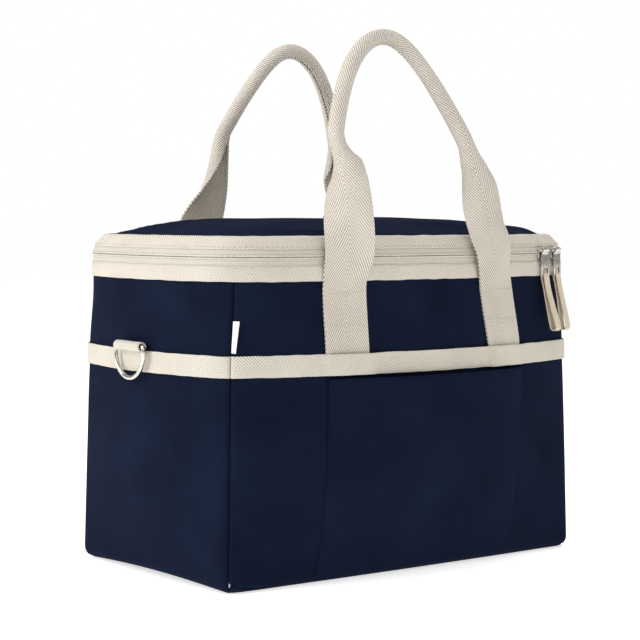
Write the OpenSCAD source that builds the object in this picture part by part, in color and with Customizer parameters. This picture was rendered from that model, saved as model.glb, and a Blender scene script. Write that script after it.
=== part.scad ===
// Soft insulated cooler bag: a box of canvas panels over foam and a foil liner, with a zipped lid,
// two webbing carry handles, a front slip pocket and a ring on each end.
// X runs along the bag, the front faces -Y, and the origin is the centre of the base on the ground.

/* [Bag] */
// Length between the corner seams at the widest height
bag_length = 368; // [300:1:450]
// Depth between the corner seams at the widest height
bag_depth = 214; // [170:1:270]
// Height of the walls, up to the lower edge of the rim webbing
wall_height = 245; // [200:1:300]
// Height at which the walls bulge most
belly_height = 170; // [130:1:200]
// How far the front and back bulge out at that height
front_belly = 34; // [15:1:40]
// How far the two ends bulge out at that height
end_belly = 18; // [8:1:26]
// How far the front bulges out at the rim
rim_front_belly = 25; // [12:1:32]
// How far the back bulges out at the rim, where the lid is hinged
rim_back_belly = 10; // [5:1:14]
// How far the two ends bulge out at the rim
rim_end_belly = 15.5; // [6:0.5:20]
// How much longer each half of the bag is at the base
base_flare = 5.5; // [0:0.5:12]
// Length of the rounding on each side of a corner at the rim
rim_corner = 34; // [24:1:44]
// Length of the rounding on each side of a corner lower down
low_corner = 14; // [12:1:24]
// Radius between the walls and the base
base_round = 10; // [7:1:16]

/* [Layers] */
// Thickness of the canvas
canvas_t = 1.2; // [0.8:0.1:2]
// Thickness of the insulating foam
foam_t = 6; // [3:0.5:10]
// Thickness of the foil liner
liner_t = 0.6; // [0.4:0.1:1]
// Thickness of the stiff board in the base
board_t = 2.5; // [1.5:0.5:4]
// Thickness of the webbing
web_t = 1.5; // [1:0.1:2]
// Thickness of the canvas base
base_t = 1.5; // [1:0.1:3]

/* [Rim and lid] */
// Height of the webbing around the top of the walls
rim_web_h = 12.5; // [8:0.5:20]
// Height of the zip tape that shows
zip_h = 13.5; // [10:0.5:20]
// Height of the webbing around the edge of the lid
lid_web_h = 8; // [6:0.5:14]
// Height of one row of zip teeth
coil_h = 3; // [2:0.1:4]
// Depth of a row of zip teeth
coil_t = 2; // [1:0.1:3]
// Gap between the two rows of zip teeth
coil_gap = 2; // [1.6:0.1:3]
// How far the lid's edge leans in
lid_lean = 8; // [2:1:12]
// Rise of the lid in its middle
lid_dome = 18; // [6:1:28]

/* [Waist band and pocket] */
// Width of the waist band
band_w = 17; // [12:1:30]
// Half length of the pocket
pocket_half = 105; // [80:1:130]
// Slack of the pocket at its mouth
pocket_slack = 9; // [7:0.5:12]

/* [Handles] */
// Width of the strap
strap_w = 40; // [30:1:50]
// Thickness of the strap
strap_t = 2; // [1.5:0.1:3]
// Distance from the middle of the bag to the middle of a strap, at the band
strap_x = 85; // [65:1:100]
// How far below the rim webbing the strap is sewn down
stitch_drop = 9; // [5:1:20]
// Height of the grip's middle above the lid's edge
handle_rise = 168; // [120:1:220]
// Height of the grip's ends above the lid's edge
grip_start = 84; // [60:1:110]
// Width of the rolled grip
grip_w = 15; // [12:0.5:20]
// Thickness of the rolled grip
grip_t = 10; // [8:0.5:14]
// How far the grip's ends drop off centre
grip_skew = 28; // [0:1:35]
// How far the grip's middle is off centre
apex_skew = 14; // [0:1:20]
// Gap between a standing handle and the lid as it opens
lid_clearance = 7; // [2:0.5:8]

/* [Rings] */
// Thickness of the ring's wire
ring_wire = 4; // [3:0.5:5]
// Width inside the ring
ring_inner = 38; // [25:1:42]
// Length of the ring's straight sides
ring_side = 5; // [2:0.5:8]
// Gap between the ring's bar and its webbing
ring_gap = 0.4; // [0.2:0.1:1]

/* [Zip pullers] */
// Length of a slider
slider_l = 12; // [10:0.5:14]
// Height of a slider
slider_h = 9; // [7:0.5:10]
// Thickness of a slider's plates
slider_t = 1.2; // [0.8:0.1:1.6]
// Width of a metal puller
puller_w = 11; // [10:0.5:14]
// Length of a metal puller
puller_l = 24; // [18:1:30]
// Thickness of a metal puller
puller_t = 1.5; // [1:0.1:2]
// Width of the ribbon in a pull loop
ribbon_w = 8; // [6:0.5:9]
// Length of a pull loop
ribbon_l = 48; // [30:1:54]
// How far the front slider stands back from the bend of the corner
slider_setback = 13; // [8:1:30]
// Turn of the corner slider from facing the front, in degrees
corner_turn = 17; // [15:1:60]
// Lean of a pull loop, outwards, in degrees
loop_lean = 12; // [0:1:20]

/* [Hidden] */

// Colours
navy = "#232b45";
inside_navy = "#2a3350";
ecru = "#ddd6c8";
foam_white = "#e9ecec";
foil = "#c3c7cb";
nickel = "#b9b7b2";

// Heights, from the ground up
board_top = base_t + board_t;
base_foam_t = 4;
floor_z = board_top + base_foam_t;
band_z = belly_height;
band_top = band_z + band_w;
stitch_z = wall_height - stitch_drop;
rim_top = wall_height + rim_web_h;
zip_mid = rim_top + zip_h / 2;
lid_edge_z = rim_top + zip_h + lid_web_h - canvas_t;
foam_top = rim_top - 1.5;
apex_z = lid_edge_z + handle_rise;
grip_z = lid_edge_z + grip_start;

// Small clearances
sewn_gap = 0.3;
strap_gap = 0.6;
turn_gap = 0.3;

// Extra depth of the bag at the rim and at the base, on each side
rim_spread = 3;
base_spread = 4.5;
base_belly = 3;

// Sides, in order seen from above, anticlockwise from the front
FRONT = 0;
RIGHT = 1;
BACK = 2;
LEFT = 3;

// ---- Plan outline of the bag at any height ----

function smooth(t) = let (c = min(1, max(0, t))) c * c * (3 - 2 * c);
function below(z) = max(0, 1 - z / belly_height);
function above(z) = smooth((z - belly_height) / (wall_height - belly_height));
function half_len(z) = bag_length / 2 + base_flare * below(z);
function half_dep(z) = bag_depth / 2 + base_spread * below(z) + rim_spread * above(z);
function swell(low, mid, top, z) =
    z < belly_height ? mid - (mid - low) * pow(below(z), 2) : mid - (mid - top) * above(z);
function bulge(side, z) =
    side == FRONT ? swell(base_belly, front_belly, rim_front_belly, z)
    : side == BACK ? swell(base_belly, front_belly, rim_back_belly, z)
    : swell(base_belly, end_belly, rim_end_belly, z);
function corner(z) = low_corner + (rim_corner - low_corner) * above(z);
// Inset of the rounded lower edge and of the leaning lid edge
function inset(z) =
    z < base_round ? base_round - sqrt(base_round * base_round - pow(base_round - z, 2))
    : z > zip_mid ? lid_lean * pow(min(1, (z - zip_mid) / (lid_edge_z - zip_mid)), 2)
    : 0;

// A wall is an arc between two corners: its radius, and how far out it is at s along it
function arc_r(half, rise) = (half * half + rise * rise) / (2 * rise);
function arc_out(s, half, away, rise) =
    let (r = arc_r(half, rise)) away + rise - r + sqrt(r * r - s * s);
function arc_normal(s, half, rise) = let (r = arc_r(half, rise)) [s / r, sqrt(1 - pow(s / r, 2))];

// Where the arc ends and the corner starts, as a share of the way from the middle to the seam
ARC_SHARE = 0.8;
function is_long(side) = side == FRONT || side == BACK;
function long_of(side, quarter) = is_long(side) ? side : quarter;

// The corner curve runs from the end of the long side's arc to the end of the short side's arc
function corner_point(t, side, z) =
    let (a = half_len(z), b = half_dep(z), e = corner(z),
         p = [a - e, arc_out(a - e, a, b, bulge(side, z))],
         q = [arc_out(b - e, b, a, bulge(LEFT, z)), b - e])
    p * pow(1 - t, 2) + [a, b] * 2 * t * (1 - t) + q * t * t;
function corner_normal(t, side, z) =
    let (d = corner_point(min(1, t + 0.02), side, z) - corner_point(max(0, t - 0.02), side, z))
    [-d[1], d[0]] / norm(d);

// A place on a wall: its plan position in the quarter of the plan where both are positive
function quarter_point(side, long, u, z) =
    let (a = half_len(z), b = half_dep(z), e = corner(z), c = abs(u),
         t = 0.5 * (c - ARC_SHARE) / (1 - ARC_SHARE))
    is_long(side)
    ? (c <= ARC_SHARE ? let (s = c / ARC_SHARE * (a - e)) [s, arc_out(s, a, b, bulge(side, z))]
       : corner_point(t, long, z))
    : (c <= ARC_SHARE ? let (s = c / ARC_SHARE * (b - e)) [arc_out(s, b, a, bulge(side, z)), s]
       : corner_point(1 - t, long, z));
function quarter_normal(side, long, u, z) =
    let (a = half_len(z), b = half_dep(z), e = corner(z), c = abs(u),
         t = 0.5 * (c - ARC_SHARE) / (1 - ARC_SHARE))
    is_long(side)
    ? (c <= ARC_SHARE ? arc_normal(c / ARC_SHARE * (a - e), a, bulge(side, z))
       : corner_normal(t, long, z))
    : (c <= ARC_SHARE
       ? let (n = arc_normal(c / ARC_SHARE * (b - e), b, bulge(side, z))) [n[1], n[0]]
       : corner_normal(1 - t, long, z));
// The long side that a point on an end faces
function facing(side, u) = side == RIGHT ? (u < 0 ? FRONT : BACK) : (u < 0 ? BACK : FRONT);
function signs(side, u) =
    let (g = u < 0 ? -1 : 1)
    side == FRONT ? [g, -1] : side == RIGHT ? [1, g] : side == BACK ? [-g, 1] : [-1, -g];

// A point on side at u (-1 to 1 between seams), height z, and distance off outside the wall
function wall(side, u, z, off) =
    let (long = is_long(side) ? side : facing(side, u), k = signs(side, u),
         p = quarter_point(side, long, u, z) + quarter_normal(side, long, u, z) * (off - inset(z)))
    [k[0] * p[0], k[1] * p[1], z];
// The same on the front or back, at a distance x from the middle
function u_at(x, z) = x / (half_len(z) - corner(z)) * ARC_SHARE;
function wall_at(side, x, z, off) = wall(side, u_at(x, z), z, off);

// ---- Sheets that follow the walls ----

CORNER_STEPS = 3;
function columns(n) = concat(
    [for (i = [0:CORNER_STEPS - 1]) -1 + i * (1 - ARC_SHARE) / CORNER_STEPS],
    [for (i = [0:n]) -ARC_SHARE + 2 * ARC_SHARE * i / n],
    [for (i = [1:CORNER_STEPS]) ARC_SHARE + i * (1 - ARC_SHARE) / CORNER_STEPS]);
LONG_COLS = columns(12);
END_COLS = columns(8);
function cols(side) = is_long(side) ? LONG_COLS : END_COLS;
// Stations along several sides in turn, without doubling the seams
function stations(sides, closed = false) =
    [for (k = [0:len(sides) - 1]) let (c = cols(sides[k]), skip = k < len(sides) - 1 || closed ? 2 : 1)
        for (i = [0:len(c) - skip]) [sides[k], c[i]]];

function sheet_faces(nu, nv, closed) =
    let (n = nu * nv, last = closed ? nu - 1 : nu - 2)
    concat(
        [for (j = [0:nv - 2]) for (i = [0:last])
            let (a = j * nu + i, b = j * nu + (i + 1) % nu, c = b + nu, d = a + nu)
            each [[a, c, b], [a, d, c], [n + a, n + b, n + c], [n + a, n + c, n + d]]],
        [for (i = [0:last]) let (a = i, b = (i + 1) % nu, t = (nv - 1) * nu)
            each [[a, b, n + b], [a, n + b, n + a],
                  [t + a, t + n + b, t + b], [t + a, t + n + a, t + n + b]]],
        closed ? [] : [for (j = [0:nv - 2]) let (a = j * nu, d = a + nu, b = a + nu - 1, c = b + nu)
            each [[a, n + a, n + d], [a, n + d, d], [b, n + c, n + b], [b, c, n + c]]]);

// A closed sheet between two grids of points, the outer and the inner
module sheet(outer, inner, nu, nv, closed = false) {
    polyhedron(points = concat(outer, inner), faces = sheet_faces(nu, nv, closed), convexity = 8);
}

// A layer of the wall on the given sides, between two distances from it, at the given heights
module layer(sides, heights, out, in, closed = false) {
    st = stations(sides, closed);
    sheet([for (z = heights) for (s = st) wall(s[0], s[1], z, out)],
          [for (z = heights) for (s = st) wall(s[0], s[1], z, in)], len(st), len(heights), closed);
}

function outline(z, off) = [for (s = stations([FRONT, RIGHT, BACK, LEFT], true))
    let (p = wall(s[0], s[1], z, off)) [p[0], p[1]]];

// Heights at which a wall bends, between low and high
BENDS = concat([4, floor_z, 14],
    [for (k = [0.15, 0.26, 0.39, 0.56, 0.76, 0.88, 1]) k * band_z], [band_top],
    [for (k = [0.22, 0.48, 0.74, 1]) band_top + k * (wall_height - band_top)]);
MIN_ROW = 1.2;
function rows(low, high) =
    concat([low], [for (z = BENDS) if (z > low + MIN_ROW && z < high - MIN_ROW) z], [high]);

// ---- Walls, base and liner ----

module wall_panel(side) {
    layer([side], rows(base_t, rim_top), 0, -canvas_t);
}

module wall_foam(side) {
    layer([side], rows(floor_z, foam_top), -canvas_t, -canvas_t - foam_t);
}

module front_panel() color(navy) wall_panel(FRONT);
module back_panel() color(navy) wall_panel(BACK);
module left_end_panel() color(inside_navy) wall_panel(LEFT);
module right_end_panel() color(inside_navy) wall_panel(RIGHT);
module front_foam() color(foam_white) wall_foam(FRONT);
module back_foam() color(foam_white) wall_foam(BACK);
module left_foam() color(foam_white) wall_foam(LEFT);
module right_foam() color(foam_white) wall_foam(RIGHT);

module base_panel() color(navy)
    linear_extrude(base_t) polygon(outline(base_t, 0));

module base_board() color("#3a3a3a")
    translate([0, 0, base_t]) linear_extrude(board_t) polygon(outline(base_t, -canvas_t - sewn_gap));

module base_foam() color(foam_white)
    translate([0, 0, board_top]) linear_extrude(base_foam_t)
        polygon(outline(board_top, -canvas_t - sewn_gap));

module liner_wall() color(foil)
    layer([FRONT, RIGHT, BACK, LEFT], rows(floor_z, foam_top),
          -canvas_t - foam_t, -canvas_t - foam_t - liner_t, closed = true);

module liner_floor() color(foil)
    translate([0, 0, floor_z]) linear_extrude(liner_t)
        polygon(outline(floor_z, -canvas_t - foam_t - liner_t - sewn_gap));

// ---- Pocket, bands and label ----

pocket_low = 10;
pocket_top = band_z - 3;
// The pocket is sewn to the panel at its ends and base, and stands away from it at its mouth
function pocket_lift(x, z) =
    let (along = 1 - pow(abs(x) / pocket_half, 4), up = smooth((z - pocket_low) / (pocket_top - pocket_low)))
    sewn_gap + (pocket_slack - sewn_gap) * along * (0.35 + 0.65 * up) * min(1, up * 6);

module front_pocket() color(navy) {
    xs = [for (i = [0:14]) pocket_half * (2 * i / 14 - 1)];
    zs = rows(pocket_low, pocket_top);
    sheet([for (z = zs) for (x = xs) wall_at(FRONT, x, z, pocket_lift(x, z) + canvas_t)],
          [for (z = zs) for (x = xs) wall_at(FRONT, x, z, pocket_lift(x, z))], len(xs), len(zs));
}

module band(side) color(ecru) layer([side], rows(band_z, band_top), web_t, 0);
module front_band() band(FRONT);
module back_band() band(BACK);
module left_band() band(LEFT);
module right_band() band(RIGHT);

label_h = 25;
label_w = 7;
label_t = 0.8;
module side_label() color("white") {
    u_seam = -0.99;
    u_end = u_seam + label_w / half_len(band_top);
    us = [u_seam, (u_seam + u_end) / 2, u_end];
    zs = rows(band_top + 1.5, band_top + 1.5 + label_h);
    sheet([for (z = zs) for (u = us) wall(FRONT, u, z, sewn_gap + label_t)],
          [for (z = zs) for (u = us) wall(FRONT, u, z, sewn_gap)], len(us), len(zs));
}

// ---- Rim and zip ----

ZIP_SIDES = [LEFT, FRONT, RIGHT];
tape_t = 0.8;
tape_in = 0.2;
coil_low = zip_mid - coil_gap / 2 - coil_h;
coil_high = zip_mid + coil_gap / 2 + coil_h;
coil_out = 0.5;

module rim_webbing() color(ecru)
    layer([FRONT, RIGHT, BACK, LEFT], [wall_height, rim_top], web_t, 0, closed = true);

module zip_tape_body() color(ecru)
    layer(ZIP_SIDES, [rim_top, coil_low], -tape_in, -tape_in - tape_t);

module zip_coil_body() color(ecru)
    layer(ZIP_SIDES, [coil_low, coil_low + coil_h], coil_out, coil_out - coil_t);

module lid_hinge_strip() color(ecru)
    layer([BACK], [rim_top, zip_mid, zip_mid + 6, lid_edge_z - canvas_t - turn_gap], web_t, 0);

// ---- Lid ----

lid_side_in = web_t + tape_t;

module lid_webbing() color(ecru)
    layer(ZIP_SIDES, [lid_edge_z - lid_web_h, lid_edge_z - lid_web_h / 2, lid_edge_z - canvas_t], 0, -web_t);

module zip_coil_lid() color(ecru)
    layer(ZIP_SIDES, [coil_high - coil_h, coil_high], coil_out, coil_out - coil_t);

module zip_tape_lid() color(ecru)
    layer(ZIP_SIDES, [coil_high, lid_edge_z - lid_web_h, lid_edge_z - lid_web_h / 2, lid_edge_z - canvas_t],
          -web_t, -lid_side_in);

RINGS = [1, 0.94, 0.82, 0.62, 0.34];
function dome(k) = lid_dome * (1 - pow(k, 2.6));
// A domed layer of the lid: its edge, its underside and how much smaller it is than the lid
module lid_layer(off, top, t) {
    edge = outline(lid_edge_z, off);
    nu = len(edge);
    nr = len(RINGS);
    function ring(k, z) = [for (p = edge) [p[0] * k, p[1] * k, z + dome(k)]];
    upper = concat([for (k = RINGS) each ring(k, top)], [[0, 0, top + lid_dome]]);
    lower = concat([for (k = RINGS) each ring(k, top - t)], [[0, 0, top - t + lid_dome]]);
    n = nu * nr + 1;
    mid = nu * nr;
    polyhedron(points = concat(upper, lower), convexity = 4, faces = concat(
        [for (j = [0:nr - 2]) for (i = [0:nu - 1])
            let (a = j * nu + i, b = j * nu + (i + 1) % nu, c = b + nu, d = a + nu)
            each [[a, c, b], [a, d, c], [n + a, n + b, n + c], [n + a, n + c, n + d]]],
        [for (i = [0:nu - 1]) let (a = (nr - 1) * nu + i, b = (nr - 1) * nu + (i + 1) % nu)
            each [[a, mid, b], [n + a, n + b, n + mid]]],
        [for (i = [0:nu - 1]) let (b = (i + 1) % nu) each [[i, b, n + b], [i, n + b, n + i]]]));
}

module lid_panel() color(navy) lid_layer(0, lid_edge_z, canvas_t);
module lid_foam() color(foam_white) lid_layer(-lid_side_in, lid_edge_z - canvas_t, foam_t);
module lid_liner() color(foil) lid_layer(-lid_side_in, lid_edge_z - canvas_t - foam_t, liner_t);

// ---- Handles ----

// Hinge of the lid: the middle of its back edge
lid_hinge_y = half_dep(lid_edge_z) + rim_back_belly - lid_lean;
// Furthest that the lid's front reaches from that hinge, in front of a strap and in the middle
lid_reach_side = lid_hinge_y - wall_at(FRONT, strap_x - strap_w, zip_mid, coil_out)[1];
lid_reach_mid = lid_hinge_y - wall_at(FRONT, 0, zip_mid, coil_out)[1];

// Distance of the strap's middle from the lid's hinge, and its place, at a height
function strap_reach(z) =
    let (t = smooth((z - grip_z) / (apex_z - grip_z)))
    (1 - t) * (lid_reach_side + lid_clearance + strap_t / 2)
    + t * (lid_reach_mid + lid_clearance + grip_w / 2);
// The back handle is the front one turned about and moved to where the back wall stands
back_shift = -wall_at(FRONT, strap_x, rim_top, 0)[1] - wall_at(BACK, strap_x, rim_top, 0)[1];
function strap_y(face, z) =
    let (r = strap_reach(z), h = max(0, z - lid_edge_z))
    lid_hinge_y - sqrt(r * r - h * h) + (face == BACK ? back_shift : 0);
// How far the two straps are apart, and how far the handle has dropped to one side
function strap_half(z) = lookup(z, [[band_top, strap_x], [stitch_z, strap_x - 3.5],
    [lid_edge_z + 14, strap_x - 10], [grip_z, strap_x - 17]]);
function strap_skew(z) = -lookup(z, [[band_top, 2.5], [stitch_z, 7],
    [lid_edge_z + 14, 0.65 * grip_skew], [grip_z, grip_skew]])
    + (grip_skew - apex_skew) * pow(max(0, (z - grip_z) / (apex_z - grip_z)), 4);
// How much a strap still follows the wall it is sewn to
function hug(z) = pow(max(0, 1 - (z - stitch_z) / (lid_edge_z - stitch_z)), 2);

// Stations up a strap as shares of its free length, and over the arch of the grip
LEG_STEPS = [0, 0.1, 0.2, 0.32, 0.45, 0.58, 0.7, 0.8, 0.9];
ARCH_STEPS = 16;
// The strap leaves the wall at the stitch line, just outside the sewn part
function leg_point(face, side, z) =
    let (x = strap_skew(z) + side * strap_half(z),
         foot_x = strap_skew(stitch_z) + side * strap_half(stitch_z),
         foot = -abs(wall_at(face, foot_x, stitch_z, strap_gap + strap_t / 2)[1]))
    [x, strap_y(face, z) + (foot - strap_y(face, rim_top)) * hug(z), z];
leg_z = [for (s = LEG_STEPS) stitch_z + turn_gap + s * (grip_z - stitch_z)];
function handle_path(face) = concat(
    [for (z = leg_z) leg_point(face, -1, z)],
    [for (i = [0:ARCH_STEPS])
        let (q = 180 * i / ARCH_STEPS, z = grip_z + (apex_z - grip_z) * pow(sin(q), 2))
        [strap_skew(z) - strap_half(grip_z) * cos(q), strap_y(face, z), z]],
    [for (i = [len(leg_z) - 1:-1:0]) leg_point(face, 1, leg_z[i])]);

// The strap is flat on its legs and rolled into a grip over the arch
function rolled(z) = smooth((z - lid_edge_z - 20) / (grip_z + 6 - lid_edge_z - 20));
SECTION_POINTS = 12;
HALF_STEP = 180 / SECTION_POINTS;
function unit(v) = v / norm(v);
function power_curve(c, k) = (c < 0 ? -1 : 1) * pow(abs(c), k);
function section(path, face, i) =
    let (n = len(path), p = path[i],
         tangent = i == 0 || i == n - 1 ? [0, 0, i == 0 ? 1 : -1] : unit(path[i + 1] - path[i - 1]),
         slope = -p[0] / arc_r(half_len(stitch_z), bulge(face, stitch_z)) * hug(p[2]),
         across = unit(cross([slope, 1, 0], tangent)), through = cross(tangent, across),
         r = rolled(p[2]), w = strap_w + (grip_t - strap_w) * r, t = strap_t + (grip_w - strap_t) * r,
         sharp = 0.35 + 0.65 * r)
    [for (k = [0:SECTION_POINTS - 1]) let (q = 360 * (k + 0.5) / SECTION_POINTS)
        p + across * w / 2 * power_curve(cos(q), sharp) / power_curve(cos(HALF_STEP), sharp)
          + through * t / 2 * power_curve(sin(q), sharp) / power_curve(cos(HALF_STEP), sharp)];

module handle(face) {
    path = handle_path(face);
    n = len(path);
    m = SECTION_POINTS;
    polyhedron(points = [for (i = [0:n - 1]) each section(path, face, i)], convexity = 6, faces = concat(
        [for (i = [0:n - 2]) for (k = [0:m - 1])
            let (a = i * m + k, b = i * m + (k + 1) % m, c = b + m, d = a + m)
            each [[a, c, b], [a, d, c]]],
        [[for (k = [0:m - 1]) k], [for (k = [m - 1:-1:0]) (n - 1) * m + k]]));
}

// The parts of a handle that are sewn flat to a panel, between the band and the stitch line
module handle_ends(face) {
    zs = rows(band_top + sewn_gap, stitch_z);
    xs = [-0.5, -0.17, 0.17, 0.5] * strap_w;
    function at(side, z, x, off) = wall_at(face, strap_skew(z) + side * strap_half(z) + x, z, off);
    for (side = [-1, 1])
        sheet([for (z = zs) for (x = xs) at(side, z, x, strap_gap + strap_t)],
              [for (z = zs) for (x = xs) at(side, z, x, strap_gap)], len(xs), len(zs));
}

module front_handle_ends() color(ecru) handle_ends(FRONT);
module back_handle_ends() color(ecru) handle_ends(BACK);
module front_handle() color(ecru) handle(FRONT);
module back_handle() color(ecru) rotate([0, 0, 180]) handle(BACK);

// ---- Rings ----

roll_wall = 1.6;
roll_r = ring_wire / 2 + ring_gap + roll_wall;
tab_w = ring_inner - 2;
ring_z = band_top + 3.5;
tab_low = band_z + 1.5;
tab_face = half_len(band_top) + end_belly + web_t + 0.1;
tab_t = 2;
ring_x = tab_face + tab_t + ring_wire / 2 + ring_gap;

module ring_tab() {
    difference() {
        union() {
            translate([-tab_face - tab_t, -tab_w / 2, tab_low])
                cube([tab_t, tab_w, ring_z - tab_low]);
            translate([-ring_x, tab_w / 2, ring_z]) rotate([90, 0, 0])
                cylinder(h = tab_w, r = roll_r, $fn = 48);
        }
        translate([-ring_x, tab_w, ring_z]) rotate([90, 0, 0])
            cylinder(h = 2 * tab_w, r = ring_wire / 2 + ring_gap, $fn = 48);
    }
}

module d_ring() {
    arm = (ring_inner + ring_wire) / 2;
    translate([-ring_x, 0, ring_z]) {
        rotate([90, 0, 0]) cylinder(h = 2 * arm, r = ring_wire / 2, center = true, $fn = 32);
        for (side = [-1, 1]) translate([0, side * arm, 0]) {
            sphere(r = ring_wire / 2, $fn = 32);
            translate([0, 0, -ring_side]) cylinder(h = ring_side, r = ring_wire / 2, $fn = 32);
        }
        translate([0, 0, -ring_side]) rotate([-90, 0, 90])
            rotate_extrude(angle = 180, $fn = 64) translate([arm, 0]) circle(r = ring_wire / 2, $fn = 32);
    }
}

module left_ring_tab() color(ecru) ring_tab();
module right_ring_tab() color(ecru) mirror([1, 0, 0]) ring_tab();
module left_d_ring() color(nickel) d_ring();
module right_d_ring() color(nickel) mirror([1, 0, 0]) d_ring();

// ---- Zip sliders, pullers and pull loops ----

front_rest_x = half_len(zip_mid) - rim_corner - slider_setback;
front_arc = arc_r(half_len(zip_mid), rim_front_belly);
front_arc_y = front_arc - half_dep(zip_mid) - rim_front_belly;
// The corner's bend as a circle, through its seam and the end of the front's arc
corner_seam = wall(FRONT, 1, zip_mid, 0);
corner_out = wall(FRONT, 1, zip_mid, 1) - corner_seam;
corner_run = corner_seam - wall(FRONT, ARC_SHARE, zip_mid, 0);
corner_arc = corner_run * corner_run / (2 * corner_out * corner_run);
corner_mid = corner_seam - corner_arc * corner_out;
slider_front = coil_out + 0.8;
slider_back = coil_out - coil_t - 1.9 - inset(zip_mid + slider_h / 2);
bridge_z = 3.2;
pin_r = 0.8;
pin_gap = 0.3;
eye_r = 2.1;
lug_t = 1.2;
bridge_out = slider_front + slider_t + eye_r + turn_gap;
slot_h = 3.2;
bar_h = 1.8;

// Places its children on the front or the right front corner of the zip, with -Y outwards and X along it
module on_front() translate([0, front_arc_y, zip_mid]) rotate([0, 0, asin(front_rest_x / front_arc)])
    translate([0, -front_arc, 0]) children();
module on_corner() translate(corner_mid) rotate([0, 0, corner_turn])
    translate([0, -corner_arc, 0]) children();

module slider() {
    web_h = coil_gap - 0.8;
    translate([-slider_l / 2, -slider_front - slider_t, -slider_h / 2])
        cube([slider_l, slider_t, slider_h]);
    translate([-slider_l / 2, -slider_back, -slider_h / 2])
        cube([slider_l, slider_t, slider_h]);
    translate([-slider_l / 2 + 2, -slider_front - slider_t / 2, -web_h / 2])
        cube([slider_l - 4, slider_front + slider_t - slider_back, web_h]);
    translate([-slider_l / 2, -bridge_out, bridge_z]) rotate([0, 90, 0])
        cylinder(h = slider_l, r = pin_r, $fn = 24);
    for (x = [-slider_l / 2, slider_l / 2 - lug_t])
        translate([x, -bridge_out - pin_r, bridge_z - pin_r])
            cube([lug_t, bridge_out + pin_r - slider_front - slider_t / 2, 2 * pin_r]);
}

module puller() {
    eye_w = slider_l - 2 * lug_t - 2 * turn_gap;
    neck = eye_r + turn_gap;
    slot_w = ribbon_w + 0.8;
    translate([0, -bridge_out, bridge_z]) difference() {
        union() {
            rotate([0, 90, 0]) cylinder(h = eye_w, r = eye_r - 0.1, center = true, $fn = 32);
            translate([-eye_w / 2, -puller_t / 2, -neck - 1]) cube([eye_w, puller_t, neck + 1]);
            translate([-puller_w / 2, -puller_t / 2, -puller_l]) cube([puller_w, puller_t, puller_l - neck]);
        }
        rotate([0, 90, 0]) cylinder(h = puller_w + 2, r = pin_r + pin_gap, center = true, $fn = 32);
        translate([-slot_w / 2, -puller_t, -puller_l + bar_h]) cube([slot_w, 2 * puller_t, slot_h]);
    }
}

loop_z = bridge_z - puller_l + bar_h;
ribbon_t = 0.9;
loop_r_top = 1.75;
loop_r_low = 2.2;
LOOP_STEPS = 14;
// Half the distance between the ribbon's two sides, down the loop
function loop_gap(t) = loop_r_top + (loop_r_low - loop_r_top) * smooth((t - 0.35) / 0.45);
function loop_side(grow) = concat(
    [for (q = [90:-30:0]) (loop_r_top + grow) * [cos(q), sin(q)]],
    [for (i = [1:LOOP_STEPS]) let (t = i / LOOP_STEPS) [loop_gap(t) + grow, -t * (ribbon_l - loop_r_low)]],
    [for (q = [-30:-30:-90]) [0, loop_r_low - ribbon_l] + (loop_r_low + grow) * [cos(q), sin(q)]]);
function loop_outline(grow) =
    let (h = loop_side(grow), n = len(h)) concat(h, [for (i = [n - 2:-1:1]) [-h[i][0], h[i][1]]]);

module pull_loop() {
    translate([0, -bridge_out, loop_z - bar_h / 2]) rotate([-loop_lean, 0, 0]) translate([0, 0, bar_h / 2])
        rotate([90, 0, 90]) linear_extrude(ribbon_w, center = true)
            difference() {
                polygon(loop_outline(ribbon_t / 2));
                polygon(loop_outline(-ribbon_t / 2));
            }
}

module front_slider() color(nickel) on_front() slider();
module front_puller() color(nickel) on_front() puller();
module front_pull_loop() color("#d8c9b2") on_front() pull_loop();
module side_slider() color(nickel) on_corner() slider();
module side_puller() color(nickel) on_corner() puller();
module side_pull_loop() color("#d8c9b2") on_corner() pull_loop();

front_panel();
back_panel();
left_end_panel();
right_end_panel();
base_panel();
base_board();
base_foam();
front_foam();
back_foam();
left_foam();
right_foam();
liner_wall();
liner_floor();
front_pocket();
front_band();
back_band();
left_band();
right_band();
rim_webbing();
zip_tape_body();
zip_coil_body();
lid_hinge_strip();
front_handle_ends();
back_handle_ends();
left_ring_tab();
right_ring_tab();
side_label();
lid_panel();
lid_foam();
lid_liner();
lid_webbing();
zip_tape_lid();
zip_coil_lid();
front_handle();
back_handle();
left_d_ring();
right_d_ring();
front_slider();
side_slider();
front_puller();
side_puller();
front_pull_loop();
side_pull_loop();
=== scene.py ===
"""Soft insulated cooler bag: navy canvas over foam, ecru herringbone webbing, cream zip, nickel fittings.

Lengths in the making functions are millimetres, and the making tools turn them to metres.
X runs along the bag, the front faces -Y, and the base stands on Z = 0.
"""

import math

import bmesh
import bpy
from mathutils import Matrix, Vector, noise


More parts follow.
